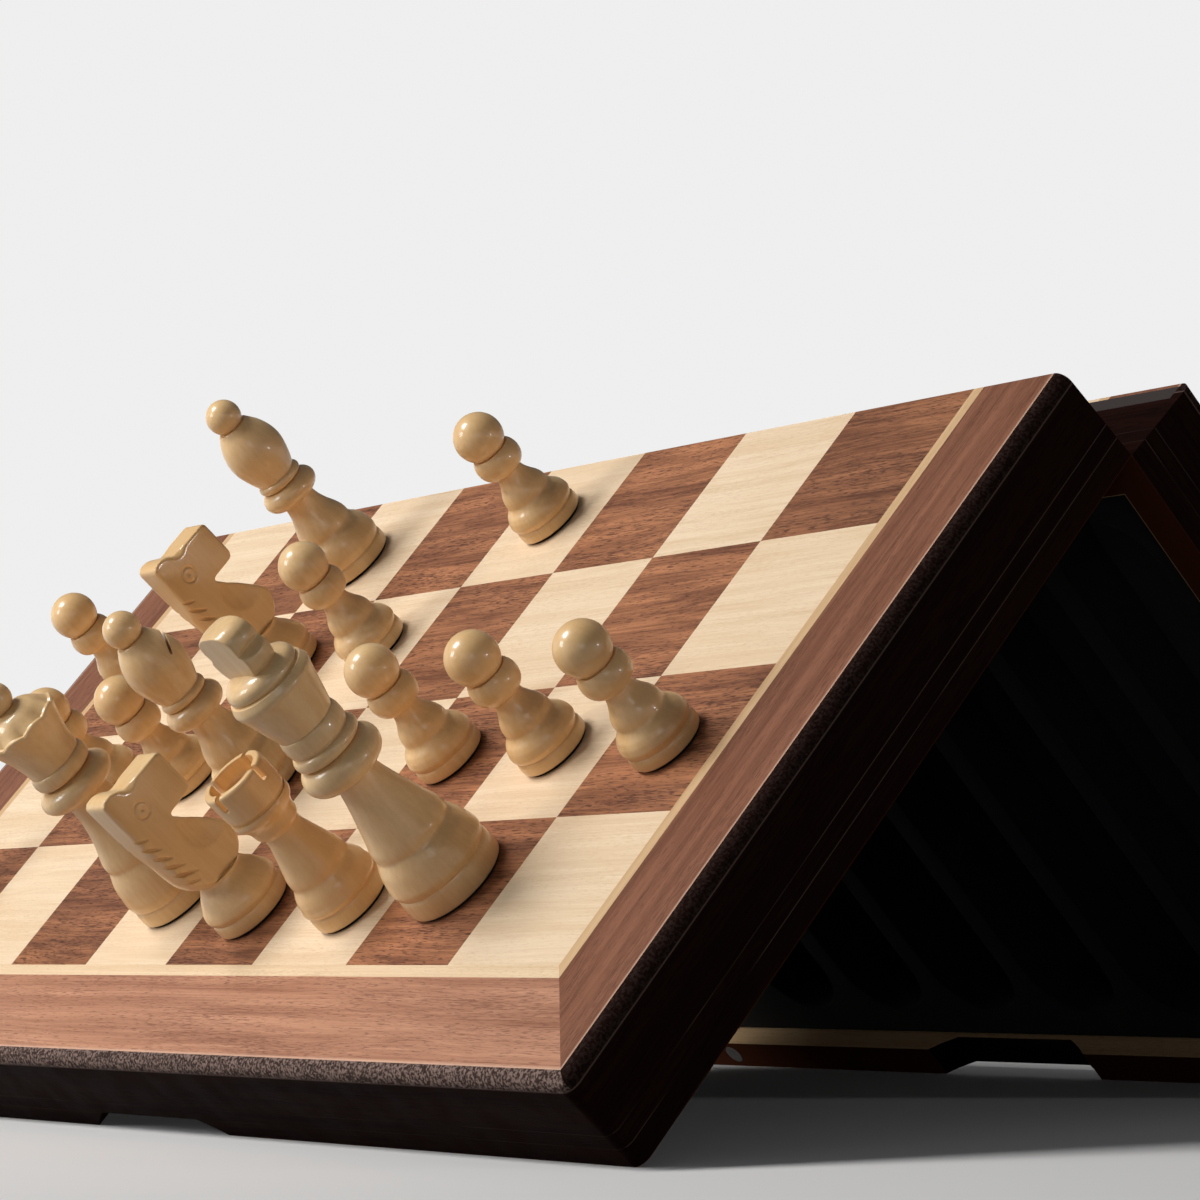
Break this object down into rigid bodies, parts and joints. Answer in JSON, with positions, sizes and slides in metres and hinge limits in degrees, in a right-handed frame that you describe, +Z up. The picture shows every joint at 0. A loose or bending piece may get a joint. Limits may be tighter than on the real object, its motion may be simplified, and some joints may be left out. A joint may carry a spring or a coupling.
{
  "type": "folding chess case with chessmen",
  "caption": "Two shallow trays hinged at the rim that open as a tent or flat into an inlaid chessboard, with turned magnetic chessmen standing on the front slope.",
  "frame": {"origin": "bottom centre of the whole set as it stands", "axes": "+X along the hinge, from the a-file to the h-file; the front half, with the chessmen, faces -Y; +Z up"},
  "size_m": [0.381, 0.3172, 0.1797],
  "materials": {
    "dark_frame": "satin",
    "panel": "matte",
    "steel": "matte",
    "maple": "satin",
    "walnut": "satin",
    "stringing": "satin",
    "walnut_border": "satin",
    "foam": "matte",
    "closing_magnet": "satin",
    "brass": "satin",
    "boxwood": "gloss",
    "felt_and_magnet": "matte"
  },
  "bodies": {
    "front_half": {"front_outer_rail": "dark_frame", "front_hinge_rail": "dark_frame", "front_end_rails": "dark_frame", "front_board_panel": "panel", "front_steel_sheet": "steel", "front_maple_squares": "maple", "front_walnut_squares": "walnut", "front_stringing": "stringing", "front_walnut_border": "walnut_border", "front_foam_insert": "foam", "front_closing_magnets": "closing_magnet", "front_hinge_leaves": "brass", "hinge_pins": "brass", "front_hinge_screws": "brass"},
    "rear_half": {"rear_outer_rail": "dark_frame", "rear_hinge_rail": "dark_frame", "rear_end_rails": "dark_frame", "rear_board_panel": "panel", "rear_steel_sheet": "steel", "rear_maple_squares": "maple", "rear_walnut_squares": "walnut", "rear_stringing": "stringing", "rear_walnut_border": "walnut_border", "rear_foam_insert": "foam", "rear_closing_magnets": "closing_magnet", "rear_hinge_leaves": "brass", "rear_hinge_screws": "brass"},
    "king_piece": {"king": "boxwood", "king_magnet": "felt_and_magnet"},
    "queen_piece": {"queen": "boxwood", "queen_magnet": "felt_and_magnet"},
    "bishop_c_piece": {"bishop_c": "boxwood", "bishop_c_magnet": "felt_and_magnet"},
    "bishop_d_piece": {"bishop_d": "boxwood", "bishop_d_magnet": "felt_and_magnet"},
    "knight_c_piece": {"knight_c": "boxwood", "knight_c_magnet": "felt_and_magnet"},
    "knight_e_piece": {"knight_e": "boxwood", "knight_e_magnet": "felt_and_magnet"},
    "rook_a_piece": {"rook_a": "boxwood", "rook_a_magnet": "felt_and_magnet"},
    "rook_f_piece": {"rook_f": "boxwood", "rook_f_magnet": "felt_and_magnet"},
    "pawn_a_piece": {"pawn_a": "boxwood", "pawn_a_magnet": "felt_and_magnet"},
    "pawn_b_piece": {"pawn_b": "boxwood", "pawn_b_magnet": "felt_and_magnet"},
    "pawn_c_piece": {"pawn_c": "boxwood", "pawn_c_magnet": "felt_and_magnet"},
    "pawn_d_piece": {"pawn_d": "boxwood", "pawn_d_magnet": "felt_and_magnet"},
    "pawn_e_piece": {"pawn_e": "boxwood", "pawn_e_magnet": "felt_and_magnet"},
    "pawn_f_piece": {"pawn_f": "boxwood", "pawn_f_magnet": "felt_and_magnet"},
    "pawn_g_piece": {"pawn_g": "boxwood", "pawn_g_magnet": "felt_and_magnet"},
    "pawn_h_piece": {"pawn_h": "boxwood", "pawn_h_magnet": "felt_and_magnet"}
  },
  "joints": [
    {"name": "fold", "type": "hinge", "parent": "front_half", "child": "rear_half", "pos_m": [0, 0.01231, 0.13985], "axis": [1, 0, 0], "range_deg": [-85.5, 94.5]},
    {"name": "lift_king", "type": "slide", "parent": "front_half", "child": "king_piece", "axis": [0, -0.7343, 0.6788], "range_m": [0, 0.1]},
    {"name": "lift_queen", "type": "slide", "parent": "front_half", "child": "queen_piece", "axis": [0, -0.7343, 0.6788], "range_m": [0, 0.1]},
    {"name": "lift_bishop_c", "type": "slide", "parent": "front_half", "child": "bishop_c_piece", "axis": [0, -0.7343, 0.6788], "range_m": [0, 0.1]},
    {"name": "lift_bishop_d", "type": "slide", "parent": "front_half", "child": "bishop_d_piece", "axis": [0, -0.7343, 0.6788], "range_m": [0, 0.1]},
    {"name": "lift_knight_c", "type": "slide", "parent": "front_half", "child": "knight_c_piece", "axis": [0, -0.7343, 0.6788], "range_m": [0, 0.1]},
    {"name": "lift_knight_e", "type": "slide", "parent": "front_half", "child": "knight_e_piece", "axis": [0, -0.7343, 0.6788], "range_m": [0, 0.1]},
    {"name": "lift_rook_a", "type": "slide", "parent": "front_half", "child": "rook_a_piece", "axis": [0, -0.7343, 0.6788], "range_m": [0, 0.1]},
    {"name": "lift_rook_f", "type": "slide", "parent": "front_half", "child": "rook_f_piece", "axis": [0, -0.7343, 0.6788], "range_m": [0, 0.1]},
    {"name": "lift_pawn_a", "type": "slide", "parent": "front_half", "child": "pawn_a_piece", "axis": [0, -0.7343, 0.6788], "range_m": [0, 0.1]},
    {"name": "lift_pawn_b", "type": "slide", "parent": "front_half", "child": "pawn_b_piece", "axis": [0, -0.7343, 0.6788], "range_m": [0, 0.1]},
    {"name": "lift_pawn_c", "type": "slide", "parent": "front_half", "child": "pawn_c_piece", "axis": [0, -0.7343, 0.6788], "range_m": [0, 0.1]},
    {"name": "lift_pawn_d", "type": "slide", "parent": "front_half", "child": "pawn_d_piece", "axis": [0, -0.7343, 0.6788], "range_m": [0, 0.1]},
    {"name": "lift_pawn_e", "type": "slide", "parent": "front_half", "child": "pawn_e_piece", "axis": [0, -0.7343, 0.6788], "range_m": [0, 0.1]},
    {"name": "lift_pawn_f", "type": "slide", "parent": "front_half", "child": "pawn_f_piece", "axis": [0, -0.7343, 0.6788], "range_m": [0, 0.1]},
    {"name": "lift_pawn_g", "type": "slide", "parent": "front_half", "child": "pawn_g_piece", "axis": [0, -0.7343, 0.6788], "range_m": [0, 0.1]},
    {"name": "lift_pawn_h", "type": "slide", "parent": "front_half", "child": "pawn_h_piece", "axis": [0, -0.7343, 0.6788], "range_m": [0, 0.1]}
  ]
}
